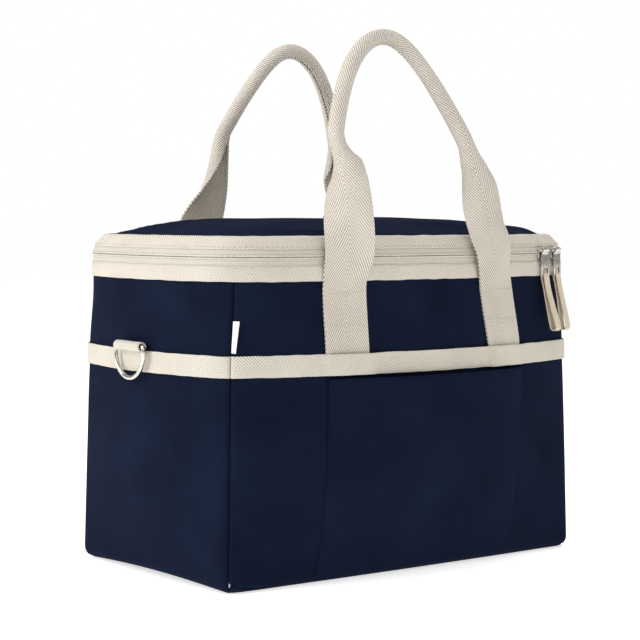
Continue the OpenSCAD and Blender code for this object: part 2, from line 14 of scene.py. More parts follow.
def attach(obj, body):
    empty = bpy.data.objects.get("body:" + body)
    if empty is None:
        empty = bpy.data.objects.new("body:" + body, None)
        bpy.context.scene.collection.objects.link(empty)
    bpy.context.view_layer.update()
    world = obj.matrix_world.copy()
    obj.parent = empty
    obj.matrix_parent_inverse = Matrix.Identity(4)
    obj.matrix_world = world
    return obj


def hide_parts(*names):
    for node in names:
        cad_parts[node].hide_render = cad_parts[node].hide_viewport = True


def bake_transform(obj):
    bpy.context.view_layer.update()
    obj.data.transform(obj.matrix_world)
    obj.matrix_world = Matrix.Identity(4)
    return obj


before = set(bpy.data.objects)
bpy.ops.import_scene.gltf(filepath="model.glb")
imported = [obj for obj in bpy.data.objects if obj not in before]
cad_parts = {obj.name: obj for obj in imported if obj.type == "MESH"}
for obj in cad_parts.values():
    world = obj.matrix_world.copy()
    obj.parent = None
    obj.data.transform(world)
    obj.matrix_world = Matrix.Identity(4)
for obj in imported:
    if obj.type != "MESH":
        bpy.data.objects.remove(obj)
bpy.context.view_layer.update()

MM = 0.001
FRONT, RIGHT, BACK, LEFT = range(4)

# ------------------------ camera and light

CAMERA_AT = (-1.0422, -1.3265, 0.3009)
CAMERA_TURN = -37.84
CAMERA_DOWN = 3.26
LENS_MM = 108.06


def camera():
    data = bpy.data.cameras.new("view")
    data.lens, data.sensor_width = LENS_MM, 36
    data.clip_start, data.clip_end = 0.05, 60
    seat = bpy.data.objects.new("view", data)
    bpy.context.scene.collection.objects.link(seat)
    turn = Matrix.Rotation(math.radians(CAMERA_TURN), 4, "Z")
    tip = Matrix.Rotation(math.radians(90 - CAMERA_DOWN), 4, "X")
    roll = Matrix.Rotation(math.radians(0.16), 4, "Z")
    seat.matrix_world = Matrix.Translation(CAMERA_AT) @ turn @ tip @ roll
    bpy.context.scene.camera = seat


def softbox(name, at, aim, size, watts):
    data = bpy.data.lights.new(name, "AREA")
    data.shape, data.size, data.size_y, data.energy = "RECTANGLE", size[0], size[1], watts
    lamp = bpy.data.objects.new(name, data)
    bpy.context.scene.collection.objects.link(lamp)
    direction = Vector(aim) - Vector(at)
    lamp.matrix_world = Matrix.Translation(at) @ direction.to_track_quat("-Z", "Y").to_matrix().to_4x4()


camera()
softbox("key_left", (-2.7, 0.9, 1.5), (0, 0, 0.2), (1.8, 1.8), 58)
softbox("fill_front", (-0.8, -3.0, 1.7), (0, 0, 0.2), (2.2, 1.8), 22)
softbox("top_light", (0.1, 0.2, 3.0), (0, 0, 0.1), (2.6, 2.6), 48)


def studio_world():
    """A white studio: bright behind the bag, dimmer as a light on it."""
    world = bpy.data.worlds.new("studio")
    bpy.context.scene.world = world
    world.use_nodes = True
    tree = world.node_tree
    seen = tree.nodes.new("ShaderNodeLightPath")
    level = tree.nodes.new("ShaderNodeMapRange")
    level.inputs["To Min"].default_value = 0.4
    level.inputs["To Max"].default_value = 1.0
    tree.links.new(seen.outputs["Is Camera Ray"], level.inputs["Value"])
    tree.nodes["Background"].inputs["Color"].default_value = (1, 1, 1, 1)
    tree.links.new(level.outputs["Result"], tree.nodes["Background"].inputs["Strength"])


studio_world()
bpy.context.scene.view_settings.view_transform = "Standard"

# ------------------------ materials


def linear(code):
    """An sRGB hex colour as linear RGBA."""
    parts = [int(code[i : i + 2], 16) / 255 for i in (1, 3, 5)]
    return tuple(c / 12.92 if c <= 0.04045 else ((c + 0.055) / 1.055) ** 2.4 for c in parts) + (1.0,)


def add(tree, kind, links=None, **settings):
    """Adds a node; settings are its properties or sockets, and links maps sockets to outputs."""
    made = tree.nodes.new(kind)
    for key, value in settings.items():
        if hasattr(made, key):
            setattr(made, key, value)
        else:
            made.inputs[key.replace("_", " ")].default_value = value
    for key, output in (links or {}).items():
        tree.links.new(output, made.inputs[key])
    return made


def material(name):
    made = bpy.data.materials.new(name)
    made.use_nodes = True
    tree = made.node_tree
    return made, tree, tree.nodes["Principled BSDF"]


def maths(tree, operation, a, b=None, c=None):
    """One Math node; a, b and c are numbers or outputs."""
    made = add(tree, "ShaderNodeMath", operation=operation)
    for i, value in enumerate((a, b, c)):
        if value is None:
            continue
        if isinstance(value, (int, float)):
            made.inputs[i].default_value = value
        else:
            tree.links.new(value, made.inputs[i])
    return made.outputs[0]


def ramp(tree, factor, low, high, at=(0.0, 1.0)):
    made = add(tree, "ShaderNodeValToRGB", {"Fac": factor})
    for stop, place, colour in zip(made.color_ramp.elements, at, (low, high)):
        stop.position, stop.color = place, linear(colour)
    return made.outputs["Color"]


def cloth_axes(tree):
    """The cloth's own lengths in metres: along its warp, and across it."""
    uv = add(tree, "ShaderNodeUVMap", uv_map="UVMap")
    split = add(tree, "ShaderNodeSeparateXYZ", {"Vector": uv.outputs["UV"]})
    return uv.outputs["UV"], split.outputs["X"], split.outputs["Y"]


def canvas(name, dark, light):
    """Plain-woven cotton canvas, piece dyed: a matt cross of threads, with a painted highlight where they
    stand proud and painted shade between them, and a faint random mottle in the cloth.

    The real threads are about 0.6 mm apart; they are drawn 1.7 mm apart so the weave shows.
    """
    made, tree, skin = material(name)
    uv, along, across = cloth_axes(tree)
    turn = 2 * math.pi / (1.7 * MM)
    warp = maths(tree, "SINE", maths(tree, "MULTIPLY", along, turn))
    weft = maths(tree, "SINE", maths(tree, "MULTIPLY", across, turn))
    weave = maths(tree, "MULTIPLY", warp, weft)
    slub = add(tree, "ShaderNodeTexNoise", {"Vector": uv}, Scale=900.0, Detail=2.0, Roughness=0.6)
    cloud = add(tree, "ShaderNodeTexNoise", {"Vector": uv}, Scale=14.0, Detail=3.0, Roughness=0.55)
    height = maths(tree, "ADD", maths(tree, "MULTIPLY", weave, 0.5), slub.outputs["Fac"])
    mottle = maths(tree, "MULTIPLY", cloud.outputs["Fac"], 0.6)
    # Colour: painted highlight on the thread crests and painted shade between the threads, plus random slub
    # and cloud mottle in the cloth
    tone = maths(tree, "ADD", maths(tree, "MULTIPLY", height, 0.45), mottle)
    tree.links.new(ramp(tree, tone, dark, light, (0.25, 0.85)), skin.inputs["Base Color"])
    bump = add(tree, "ShaderNodeBump", {"Height": height}, Strength=0.55, Distance=0.35 * MM)
    tree.links.new(bump.outputs["Normal"], skin.inputs["Normal"])
    skin.inputs["Roughness"].default_value = 0.9
    skin.inputs["Specular IOR Level"].default_value = 0.03
    skin.inputs["Sheen Weight"].default_value = 0.03
    skin.inputs["Sheen Roughness"].default_value = 0.5
    skin.inputs["Sheen Tint"].default_value = linear("#6f7fae")
    return made


def herringbone(name, groove, crest, rib, slope, depth=0.45 * MM):
    """Cotton herringbone webbing: ribs of yarn that meet in a V along the middle, shadowed between them."""
    made, tree, skin = material(name)
    uv, along, across = cloth_axes(tree)
    away = maths(tree, "ABSOLUTE", across)
    phase = maths(tree, "ADD", along, maths(tree, "MULTIPLY", away, slope))
    wobble = add(tree, "ShaderNodeTexNoise", {"Vector": uv}, Scale=160.0, Detail=1.0)
    phase = maths(tree, "ADD", phase, maths(tree, "MULTIPLY", wobble.outputs["Fac"], 0.5 * MM))
    wave = maths(tree, "SINE", maths(tree, "MULTIPLY", phase, 2 * math.pi / rib))
    ridge = maths(tree, "MULTIPLY_ADD", wave, 0.5, 0.5)
    ridge = maths(tree, "POWER", ridge, 0.7)
    fibre = add(tree, "ShaderNodeTexNoise", {"Vector": uv}, Scale=1100.0, Detail=2.0, Roughness=0.7)
    cloud = add(tree, "ShaderNodeTexNoise", {"Vector": uv}, Scale=30.0, Detail=2.0)
    height = maths(tree, "ADD", ridge, maths(tree, "MULTIPLY", fibre.outputs["Fac"], 0.5))
    tone = maths(tree, "MULTIPLY_ADD", cloud.outputs["Fac"], 0.3, maths(tree, "MULTIPLY", height, 0.75))
    tree.links.new(ramp(tree, tone, groove, crest, (0.28, 0.82)), skin.inputs["Base Color"])
    bump = add(tree, "ShaderNodeBump", {"Height": height}, Strength=0.7, Distance=depth)
    tree.links.new(bump.outputs["Normal"], skin.inputs["Normal"])
    skin.inputs["Roughness"].default_value = 0.9
    skin.inputs["Specular IOR Level"].default_value = 0.25
    skin.inputs["Sheen Weight"].default_value = 0.08
    skin.inputs["Sheen Tint"].default_value = linear("#fff6e6")
    return made


def twill(name, low, high, rib):
    """Woven polyester zip tape: fine close ribs along it, smoother and paler than the cotton."""
    made, tree, skin = material(name)
    uv, _, across = cloth_axes(tree)
    wave = maths(tree, "SINE", maths(tree, "MULTIPLY", across, 2 * math.pi / rib))
    fibre = add(tree, "ShaderNodeTexNoise", {"Vector": uv}, Scale=700.0, Detail=2.0)
    height = maths(tree, "MULTIPLY_ADD", wave, 0.3, fibre.outputs["Fac"])
    # Colour: painted shade between the ribs and painted highlight on them, plus random fibre tone
    tree.links.new(ramp(tree, height, low, high, (0.2, 0.9)), skin.inputs["Base Color"])
    bump = add(tree, "ShaderNodeBump", {"Height": height}, Strength=0.35, Distance=0.2 * MM)
    tree.links.new(bump.outputs["Normal"], skin.inputs["Normal"])
    skin.inputs["Roughness"].default_value = 0.75
    skin.inputs["Specular IOR Level"].default_value = 0.35
    return made


def plain(name, low, high, grain, roughness, metallic=0.0, bump=0.1 * MM, strength=0.2):
    """A finish with a fine grain of its own, read in Object coordinates."""
    made, tree, skin = material(name)
    place = add(tree, "ShaderNodeTexCoord").outputs["Object"]
    speck = add(tree, "ShaderNodeTexNoise", {"Vector": place}, Scale=1 / grain, Detail=3.0)
    tree.links.new(ramp(tree, speck.outputs["Fac"], low, high, (0.3, 0.7)), skin.inputs["Base Color"])
    relief = add(tree, "ShaderNodeBump", {"Height": speck.outputs["Fac"]}, Strength=strength, Distance=bump)
    tree.links.new(relief.outputs["Normal"], skin.inputs["Normal"])
    skin.inputs["Roughness"].default_value = roughness
    skin.inputs["Metallic"].default_value = metallic
    return made


NAVY = canvas("navy_cotton_canvas", "#090e1b", "#182138")
WEBBING = herringbone("ecru_herringbone_strap", "#75695a", "#d8d1c5", 3.6 * MM, 1.7)
TAPE = herringbone("ecru_herringbone_tape", "#8f8576", "#d8d1c5", 2.6 * MM, 1.2, 0.3 * MM)
RIBBON = herringbone("ecru_ribbon", "#a8957b", "#d8ccb8", 1.8 * MM, 1.0, 0.25 * MM)
ZIP_TAPE = twill("cream_zip_tape", "#b4afa1", "#cdc8bb", 1.3 * MM)
# Nylon coil: smooth extruded filament, a soft gloss on every turn
COIL = plain("cream_nylon_coil", "#b5ae9d", "#d2ccbe", 2 * MM, 0.42)
# Polished nickel plate: bright, with faint uneven polish
NICKEL = plain("polished_nickel", "#b5b1a9", "#dcd9d2", 3 * MM, 0.16, 1.0, bump=0.03 * MM, strength=0.1)
# Cotton thread: matt and a little browner than the webbing
THREAD = plain("tan_cotton_thread", "#a08b6c", "#c9b798", 0.5 * MM, 0.9)
PALE_THREAD = plain("ecru_cotton_thread", "#bfb39c", "#e2dacb", 0.5 * MM, 0.9)
# Satin-woven label: smooth white
LABEL = plain("white_satin_label", "#dedcd6", "#f6f5f1", 1.2 * MM, 0.55)
# Silvered PEVA film over foam: soft metallic sheen with fine crinkle
FOIL = plain("silvered_film", "#a9adb1", "#d6d9dc", 6 * MM, 0.38, metallic=0.75, bump=1.0 * MM, strength=0.5)
# Painted studio floor, matt and pale
FLOOR = plain("pale_floor", "#f1f1f0", "#f6f6f5", 60 * MM, 0.9, bump=0.1 * MM, strength=0.02)
# The floor is a lit white sweep, so it gives off some light of its own
FLOOR_SKIN = FLOOR.node_tree.nodes["Principled BSDF"]
FLOOR_SKIN.inputs["Emission Color"].default_value = (1, 1, 1, 1)
FLOOR_SKIN.inputs["Emission Strength"].default_value = 0.62

# ------------------------ the bag's plan, as it is drawn in the part

BELLY_Z, WALL_Z, RIM_Z, ZIP_Z, LID_Z = 170.0, 245.0, 257.5, 264.25, 277.8
HALF_LENGTH, HALF_DEPTH = 184.0, 107.0
BASE_FLARE, BASE_SPREAD, RIM_SPREAD = 5.5, 4.5, 3.0
BASE_ROUND, LEAN, DOME = 10.0, 8.0, 18.0
LOW_CORNER, RIM_CORNER = 14.0, 34.0
ARC_SHARE = 0.8
SWELLS = {FRONT: (3, 34, 25), BACK: (3, 34, 10), LEFT: (3, 18, 15.5), RIGHT: (3, 18, 15.5)}


def smooth(t):
    t = min(1.0, max(0.0, t))
    return t * t * (3 - 2 * t)


def below(z):
    return max(0.0, 1 - z / BELLY_Z)


def above(z):
    return smooth((z - BELLY_Z) / (WALL_Z - BELLY_Z))


def half_length(z):
    return HALF_LENGTH + BASE_FLARE * below(z)


def half_depth(z):
    return HALF_DEPTH + BASE_SPREAD * below(z) + RIM_SPREAD * above(z)


def bulge(side, z):
    low, mid, top = SWELLS[side]
    return mid - (mid - low) * below(z) ** 2 if z < BELLY_Z else mid - (mid - top) * above(z)


def corner(z):
    return LOW_CORNER + (RIM_CORNER - LOW_CORNER) * above(z)


def inset(z):
    if z < BASE_ROUND:
        return BASE_ROUND - math.sqrt(max(0.0, BASE_ROUND**2 - (BASE_ROUND - max(z, 0)) ** 2))
    return LEAN * min(1.0, (z - ZIP_Z) / (LID_Z - ZIP_Z)) ** 2 if z > ZIP_Z else 0.0


def arc(s, half, away, rise):
    """How far out an arched wall is at s along it, and its outward normal."""
    r = (half * half + rise * rise) / (2 * rise)
    c = math.sqrt(r * r - s * s)
    return away + rise - r + c, (s / r, c / r)


def quarter(side, long, u, z):
    """A plan place and normal in the quarter where both are positive."""
    a, b, e, c = half_length(z), half_depth(z), corner(z), abs(u)
    if c <= ARC_SHARE:
        if side in (FRONT, BACK):
            s = c / ARC_SHARE * (a - e)
            y, n = arc(s, a, b, bulge(side, z))
            return (s, y), n
        s = c / ARC_SHARE * (b - e)
        x, n = arc(s, b, a, bulge(side, z))
        return (x, s), (n[1], n[0])
    t = 0.5 * (c - ARC_SHARE) / (1 - ARC_SHARE)
    if side not in (FRONT, BACK):
        t = 1 - t
    p = (a - e, arc(a - e, a, b, bulge(long, z))[0])
    q = (arc(b - e, b, a, bulge(LEFT, z))[0], b - e)
    k0, k1, k2 = (1 - t) ** 2, 2 * t * (1 - t), t * t
    x, y = p[0] * k0 + a * k1 + q[0] * k2, p[1] * k0 + b * k1 + q[1] * k2
    dx = 2 * ((1 - t) * (a - p[0]) + t * (q[0] - a))
    dy = 2 * ((1 - t) * (b - p[1]) + t * (q[1] - b))
    d = math.hypot(dx, dy) or 1.0
    return (x, y), (-dy / d, dx / d)


def wall(side, u, z, off=0.0):
    """The point off outside a wall at u, from -1 to 1 between its seams, and height z."""
    if side in (FRONT, BACK):
        long = side
    else:
        long = (FRONT if u < 0 else BACK) if side == RIGHT else (BACK if u < 0 else FRONT)
    g = -1 if u < 0 else 1
    kx, ky = {FRONT: (g, -1), RIGHT: (1, g), BACK: (-g, 1), LEFT: (-1, -g)}[side]
    (x, y), (nx, ny) = quarter(side, long, u, z)
    d = off - inset(z)
    return Vector((kx * (x + nx * d), ky * (y + ny * d), z))


def wall_at(side, x, z, off=0.0):
    """The same on the front or back, at x from the middle; x grows to that side's own right."""
    return wall(side, x / (half_length(z) - corner(z)) * ARC_SHARE, z, off)


RING = (LEFT, FRONT, RIGHT, BACK)


def around(q, z, off=0.0):
    """Round the bag: q from 0 to 4 along the left end, front, right end and back."""
    i = min(3, int(q % 4))
    return wall(RING[i], 2 * (q % 4 - i) - 1, z, off)


def even_stations(first, last, step, z=ZIP_Z):
    """Stations from first to last, step apart along the wall at height z."""
    fine = [first + (last - first) * i / 1600 for i in range(1601)]
    run = [0.0]
    for a, b in zip(fine, fine[1:]):
        run.append(run[-1] + (around(min(b, 3.99999), z) - around(min(a, 3.99999), z)).length)
    count = max(4, round(run[-1] / step))
    out, j = [], 0
    for i in range(count + 1):
        want = run[-1] * i / count
        while j < 1599 and run[j + 1] < want:
            j += 1
        gap = run[j + 1] - run[j] or 1.0
        out.append(fine[j] + (fine[j + 1] - fine[j]) * min(1.0, (want - run[j]) / gap))
    return [min(q, 3.99999) for q in out]


def ripple(x, y, z, size, seed=0.0):
    return noise.noise(Vector((x / size + seed, y / size - seed, z / size + 3 * seed)))


def settle(p):
    """The base's two ends are drawn up a little in their middle."""
    near_end = smooth((abs(p.x) - 150) / 45) * max(0.0, 1 - (p.y / 104) ** 2)
    p.z += 4.2 * near_end * max(0.0, 1 - p.z / 26) ** 2
    return p


# ------------------------ making tools


def clear():
    if bpy.context.object and bpy.context.object.mode != "OBJECT":
        bpy.ops.object.mode_set(mode="OBJECT")
    bpy.ops.object.select_all(action="DESELECT")


def modify(piece, kind, **settings):
    change = piece.modifiers.new(kind.lower(), kind)
    for key, value in settings.items():
        setattr(change, key, value)
    bpy.context.view_layer.objects.active = piece
    bpy.ops.object.modifier_apply(modifier=change.name)


def ease(piece, width):
    """Takes the sharpness off the edges of a piece of webbing."""
    modify(piece, "BEVEL", width=width * MM, segments=2, limit_method="ANGLE", angle_limit=math.radians(60))


def fill_hole(piece, belongs):
    """Puts a face across the open edge whose points belong; leaves the piece in edit mode."""
    clear()
    bpy.context.view_layer.objects.active = piece
    bpy.ops.object.mode_set(mode="EDIT")
    bpy.ops.mesh.select_all(action="DESELECT")
    made = bmesh.from_edit_mesh(piece.data)
    for e in made.edges:
        e.select = e.is_boundary and all(belongs(v.co.z) for v in e.verts)
    bmesh.update_edit_mesh(piece.data)
    bpy.ops.mesh.edge_face_add()


def finish(piece, name, paint, body, angle=40):
    """Names a piece, paints it, shades it and lets it ride with a body."""
    piece.name = piece.data.name = name
    piece.data.materials.clear()
    piece.data.materials.append(paint)
    clear()
    piece.select_set(True)
    bpy.context.view_layer.objects.active = piece
    bpy.ops.object.transform_apply(location=True, rotation=True, scale=True)
    bpy.ops.object.shade_smooth_by_angle(angle=math.radians(angle))
    if body:
        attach(piece, body)
    return piece


def cloth(cols, rows, place, closed=False, thick=0.0):
    """A piece of cloth: a grid laid at place(col, row), with its own lengths as its UV map."""
    clear()
    nu, nv = len(cols), len(rows)
    bpy.ops.mesh.primitive_grid_add(x_subdivisions=nu - 1, y_subdivisions=nv - 1, size=2)
    piece = bpy.context.object
    mesh = piece.data
    index = [(round((v.co.x + 1) / 2 * (nu - 1)), round((v.co.y + 1) / 2 * (nv - 1))) for v in mesh.vertices]
    spot = {(i, j): place(cols[i], rows[j]) for i in range(nu) for j in range(nv)}
    mid_u, mid_v = nu // 2, nv // 2
    run_u, run_v = [0.0], [0.0]
    for i in range(1, nu):
        run_u.append(run_u[-1] + (spot[i, mid_v] - spot[i - 1, mid_v]).length * MM)
    for j in range(1, nv):
        run_v.append(run_v[-1] + (spot[mid_u, j] - spot[mid_u, j - 1]).length * MM)
    half = run_v[-1] / 2
    for v, (i, j) in zip(mesh.vertices, index):
        v.co = spot[i, j] * MM
    layer = mesh.uv_layers[0]
    layer.name = "UVMap"
    for loop in mesh.loops:
        i, j = index[loop.vertex_index]
        layer.data[loop.index].uv = (run_u[i], run_v[j] - half)
    if closed:
        weld(piece)
    if thick:
        modify(piece, "SOLIDIFY", thickness=thick * MM, offset=-1, use_even_offset=True)
    return piece


def weld(piece, distance=0.02):
    made = bmesh.new()
    made.from_mesh(piece.data)
    bmesh.ops.remove_doubles(made, verts=made.verts, dist=distance * MM)
    made.to_mesh(piece.data)
    made.free()


def join(pieces):
    clear()
    for piece in pieces:
        piece.select_set(True)
    bpy.context.view_layer.objects.active = pieces[0]
    bpy.ops.object.join()
    return bpy.context.object


def tube(points, radius, closed=False, sides=10):
    """A round wire through points."""
    clear()
    data = bpy.data.curves.new("wire", "CURVE")
    data.dimensions = "3D"
    data.bevel_depth, data.bevel_resolution = radius * MM, sides // 2
    data.use_fill_caps = not closed
    line = data.splines.new("POLY")
    line.points.add(len(points) - 1)
    for spot, point in zip(line.points, points):
        spot.co = (*(Vector(point) * MM), 1)
    line.use_cyclic_u = closed
    piece = bpy.data.objects.new("wire", data)
    bpy.context.scene.collection.objects.link(piece)
    piece.select_set(True)
    bpy.context.view_layer.objects.active = piece
    bpy.ops.object.convert(target="MESH")
    return bpy.context.object


def block(size, at=(0, 0, 0), round_off=0.3, segments=3):
    """A block with rounded edges."""
    clear()
    bpy.ops.mesh.primitive_cube_add(size=1, location=Vector(at) * MM)
    piece = bpy.context.object
    bpy.ops.object.mode_set(mode="EDIT")
    bpy.ops.mesh.select_all(action="SELECT")
    bpy.ops.transform.resize(value=[s * MM for s in size])
    bpy.ops.mesh.bevel(offset=round_off * MM, segments=segments)
    bpy.ops.object.mode_set(mode="OBJECT")
    bpy.ops.object.transform_apply(location=True, rotation=True, scale=True)
    return piece


def rod(radius, length, at=(0, 0, 0), axis="X", sides=32, round_off=0.0):
    """A rod, with its ends eased where round_off is given."""
    clear()
    turn = {"X": (0, math.pi / 2, 0), "Y": (math.pi / 2, 0, 0), "Z": (0, 0, 0)}[axis]
    bpy.ops.mesh.primitive_cylinder_add(
        vertices=sides, radius=radius * MM, depth=length * MM, location=Vector(at) * MM, rotation=turn
    )
    piece = bpy.context.object
    if round_off:
        modify(piece, "BEVEL", width=round_off * MM, segments=3, limit_method="ANGLE")
    bpy.ops.object.transform_apply(location=True, rotation=True, scale=True)
    return piece


def cut(piece, tool):
    change = piece.modifiers.new("cut", "BOOLEAN")
    change.operation, change.object, change.solver = "DIFFERENCE", tool, "EXACT"
    clear()
    bpy.context.view_layer.objects.active = piece
    bpy.ops.object.modifier_apply(modifier=change.name)
    bpy.data.objects.remove(tool)


def move(piece, matrix):
    piece.data.transform(matrix)


def stitches(points, normals, name, paint, body, slot, length=2.6, gap=1.4, width=0.75):
    """A row of lockstitches laid along points, each one sunk at its ends."""
    run = [0.0]
    for a, b in zip(points, points[1:]):
        run.append(run[-1] + (b - a).length)
    made = bmesh.new()
    s, j = gap / 2, 0
    while s + length < run[-1]:
        ends = []
        for want in (s, s + length / 2, s + length):
            while j < len(points) - 2 and run[j + 1] < want:
                j += 1
            t = (want - run[j]) / max(1e-6, run[j + 1] - run[j])
            ends.append((points[j].lerp(points[j + 1], t), normals[j].lerp(normals[j + 1], t).normalized()))
        (a, na), (m, nm), (b, nb) = ends
        side = (b - a).normalized().cross(nm) * (width / 2)
        rings = []
        for p, n, wide, lift in ((a, na, 0.5, -0.15), (m, nm, 1.0, 0.3), (b, nb, 0.5, -0.15)):
            p = p + n * lift
            edge, crown = side * wide, side * wide * 0.5
            ring = [p - edge, p - crown + n * 0.22, p + crown + n * 0.22, p + edge, p - n * 0.3]
            rings.append([made.verts.new(v * MM) for v in ring])
        for lo, hi in zip(rings, rings[1:]):
            for i in range(5):
                made.faces.new((lo[i], lo[(i + 1) % 5], hi[(i + 1) % 5], hi[i]))
        made.faces.new(rings[0][::-1])
        made.faces.new(rings[-1])
        s += length + gap
        j = max(0, j - 3)
    bmesh.ops.recalc_face_normals(made, faces=made.faces)
    mesh = bpy.data.meshes.new(name)
    made.to_mesh(mesh)
    made.free()
    piece = bpy.data.objects.new(name, mesh)
    bpy.context.scene.collection.objects.link(piece)
    return finish(piece, name, paint, body, 60)


# ------------------------ canvas walls

SIDE_NAME = {FRONT: "front", RIGHT: "right_end", BACK: "back", LEFT: "left_end"}
SIDE_NODE = {
    FRONT: ("front_panel", "front_foam"),
    RIGHT: ("right_end_panel", "right_foam"),
    BACK: ("back_panel", "back_foam"),
    LEFT: ("left_end_panel", "left_foam"),
}
SEAM_COLS = (0.0, 0.004, 0.009, 0.016, 0.026, 0.04, 0.06, 0.085, 0.115, 0.15)


def panel_cols(side):
    inner = 84 if side in (FRONT, BACK) else 52
    low = [-1 + c for c in SEAM_COLS]
    return low + [-0.81 + 1.62 * i / inner for i in range(inner + 1)] + [-c for c in reversed(low)]


def seam_gap(u, z):
    """Distance in mm from the corner seam, along the cloth."""
    return (1 - abs(u)) / (1 - ARC_SHARE) * 0.81 * corner(z)


def tuck(distance, reach=2.6, depth=2.4):
    """Cloth rolls in where it is sewn."""
    t = max(0.0, 1 - distance / reach)
    return -depth * t * t


def base_seam(side, u):
    """Height of the seam between a wall and the base."""
    if side == FRONT:
        return 0.9 + 7.8 * (1 - smooth((u + 1) / 0.42)) + 1.6 * (1 - smooth((1 - u) / 0.3))
    if side == BACK:
        return 0.9 + 3.0 * (1 - smooth((1 - abs(u)) / 0.3))
    return 1.2


def under_strap(side, x, z):
    """The canvas is held down where a strap is sewn over it."""
    if side not in (FRONT, BACK):
        return 0.0
    return 1.8 * smooth((31 - abs(abs(x) - 83)) / 9) * smooth((z - 160) / 12)


def drape(side, p, u, z):
    """Slack of the canvas: slow waves, with small puckers below the rim webbing."""
    slow = 1.5 * ripple(p.x, p.y, z, 88, side * 3.1) + 0.7 * ripple(p.x, p.y, z, 36, side * 5.7)
    pucker = 0.55 * ripple(p.x * 2.4, p.y * 2.4, z * 0.25, 26, 2.2) * smooth((z - 200) / 45)
    grip = smooth(seam_gap(u, z) / 16)
    return (slow + pucker) * grip * smooth((z - 3) / 14) - under_strap(side, p.x, z)


def make_wall(side):
    rows = [0.0, 0.006, 0.014, 0.024, 0.036, 0.05, 0.066, 0.085, 0.11]
    rows += [0.11 + 0.89 * i / 66 for i in range(1, 67)]

    def place(u, t):
        low = base_seam(side, u)
        z = low + (RIM_Z - 3 - low) * t
        p = wall(side, u, z)
        off = drape(side, p, u, z) + tuck(seam_gap(u, z)) + tuck((z - low) * 1.4, 2.6, 1.3)
        off -= 1.2 * smooth((z - 246) / 4)
        return settle(wall(side, u, z, off))

    piece = cloth(panel_cols(side), rows, place, thick=1.1)
    finish(piece, SIDE_NAME[side] + "_canvas", NAVY, "bag")
    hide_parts(*SIDE_NODE[side])
    return piece


for wall_side in (FRONT, RIGHT, BACK, LEFT):
    make_wall(wall_side)


def make_base():
    """The base: a shallow pan of canvas over the board, seamed to the walls."""
    cols = even_stations(0, 4, 4.0, 8.0)

    def place(q, t):
        side = RING[min(3, int(q))]
        u = 2 * (q - int(q)) - 1
        low = base_seam(side, u)
        if t <= 0.5:
            z = low * (1 - t / 0.5)
            gap = low - z
            return settle(wall(side, u, max(z, 0.0), tuck(gap * 1.4 + 0.1, 2.6, 1.6) - 0.3))
        p = settle(wall(side, u, 0.0, -0.3 - 26 * (t - 0.5)))
        p.z *= 1 - smooth((t - 0.5) * 2)
        return p

    rows = [1.0, 0.9, 0.8, 0.7, 0.6, 0.55, 0.5, 0.42, 0.34, 0.26, 0.18, 0.12, 0.07, 0.03, 0.0]
    piece = cloth(cols, rows, place, closed=True)
    fill_hole(piece, lambda z: abs(z) < 0.05 * MM)
    bpy.ops.mesh.select_all(action="SELECT")
    bpy.ops.mesh.normals_make_consistent(inside=False)
    bpy.ops.object.mode_set(mode="OBJECT")
    finish(piece, "base_canvas", NAVY, "bag", 50)
    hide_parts("base_panel", "base_board", "base_foam")


make_base()

# ------------------------ pocket

POCKET_HALF, POCKET_LOW, POCKET_TOP, POCKET_SLACK = 105.0, 7.0, 167.5, 7.0


def pocket_lift(x, z):
    along = 1 - (abs(x) / POCKET_HALF) ** 4
    up = smooth((z - POCKET_LOW) / (POCKET_TOP - POCKET_LOW))
    return 0.5 + POCKET_SLACK * along * (0.3 + 0.7 * up) * min(1, up * 6)


def make_pocket():
    edge = [0.0, 0.6, 1.4, 2.6, 4.5, 7.5]
    cols = [-POCKET_HALF + e for e in edge] + [-POCKET_HALF + 12 + 186 * i / 56 for i in range(57)]
    cols += [POCKET_HALF - e for e in reversed(edge)]
    rows = [POCKET_LOW + (POCKET_TOP - 4 - POCKET_LOW) * i / 56 for i in range(57)]
    rows += [POCKET_TOP - 2.4, POCKET_TOP - 1.0, POCKET_TOP]

    def place(x, z):
        e = POCKET_HALF - abs(x)
        flare = 1 + 0.02 * smooth((60 - z) / 60)
        p = wall_at(FRONT, x * flare, z)
        slack = 0.9 * ripple(p.x, 0, z, 60, 8.3) + 0.5 * ripple(p.x * 1.6, 0, z * 0.5, 30, 4.4)
        slack *= smooth(e / 20)
        hem = 0.5 * smooth((z - (POCKET_TOP - 13)) / 1.5) * (1 - smooth((z - POCKET_TOP + 1.5) / 1.5))
        roll = tuck(e, 2.2, 1.2) + tuck(POCKET_TOP - z, 1.6, 0.9)
        return settle(wall_at(FRONT, x * flare, z, 1.5 + pocket_lift(x, z) + slack + roll + hem))

    piece = cloth(cols, rows, place, thick=1.2)
    finish(piece, "pocket_canvas", NAVY, "bag")
    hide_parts("front_pocket")


make_pocket()

# ------------------------ straps and handles

STRAP_W, STRAP_T, STITCH_Z = 40.0, 2.0, 236.0
BAND_LOW, BAND_TOP = 170.0, 187.2
GRIP_Z = LID_Z + 84
APEX_Z = LID_Z + 168
HINGE_Y = 112.0
REACH_SIDE = HINGE_Y - wall_at(FRONT, 45, ZIP_Z, 0.5).y
REACH_MID = HINGE_Y - wall_at(FRONT, 0, ZIP_Z, 0.5).y
WALL_CURVE = 650.0
BACK_SHIFT = -wall_at(FRONT, 85, RIM_Z).y - wall_at(BACK, 85, RIM_Z).y


def lookup(z, table):
    if z <= table[0][0]:
        return table[0][1]
    for (a, p), (b, q) in zip(table, table[1:]):
        if z <= b:
            return p + (q - p) * (z - a) / (b - a)
    return table[-1][1]


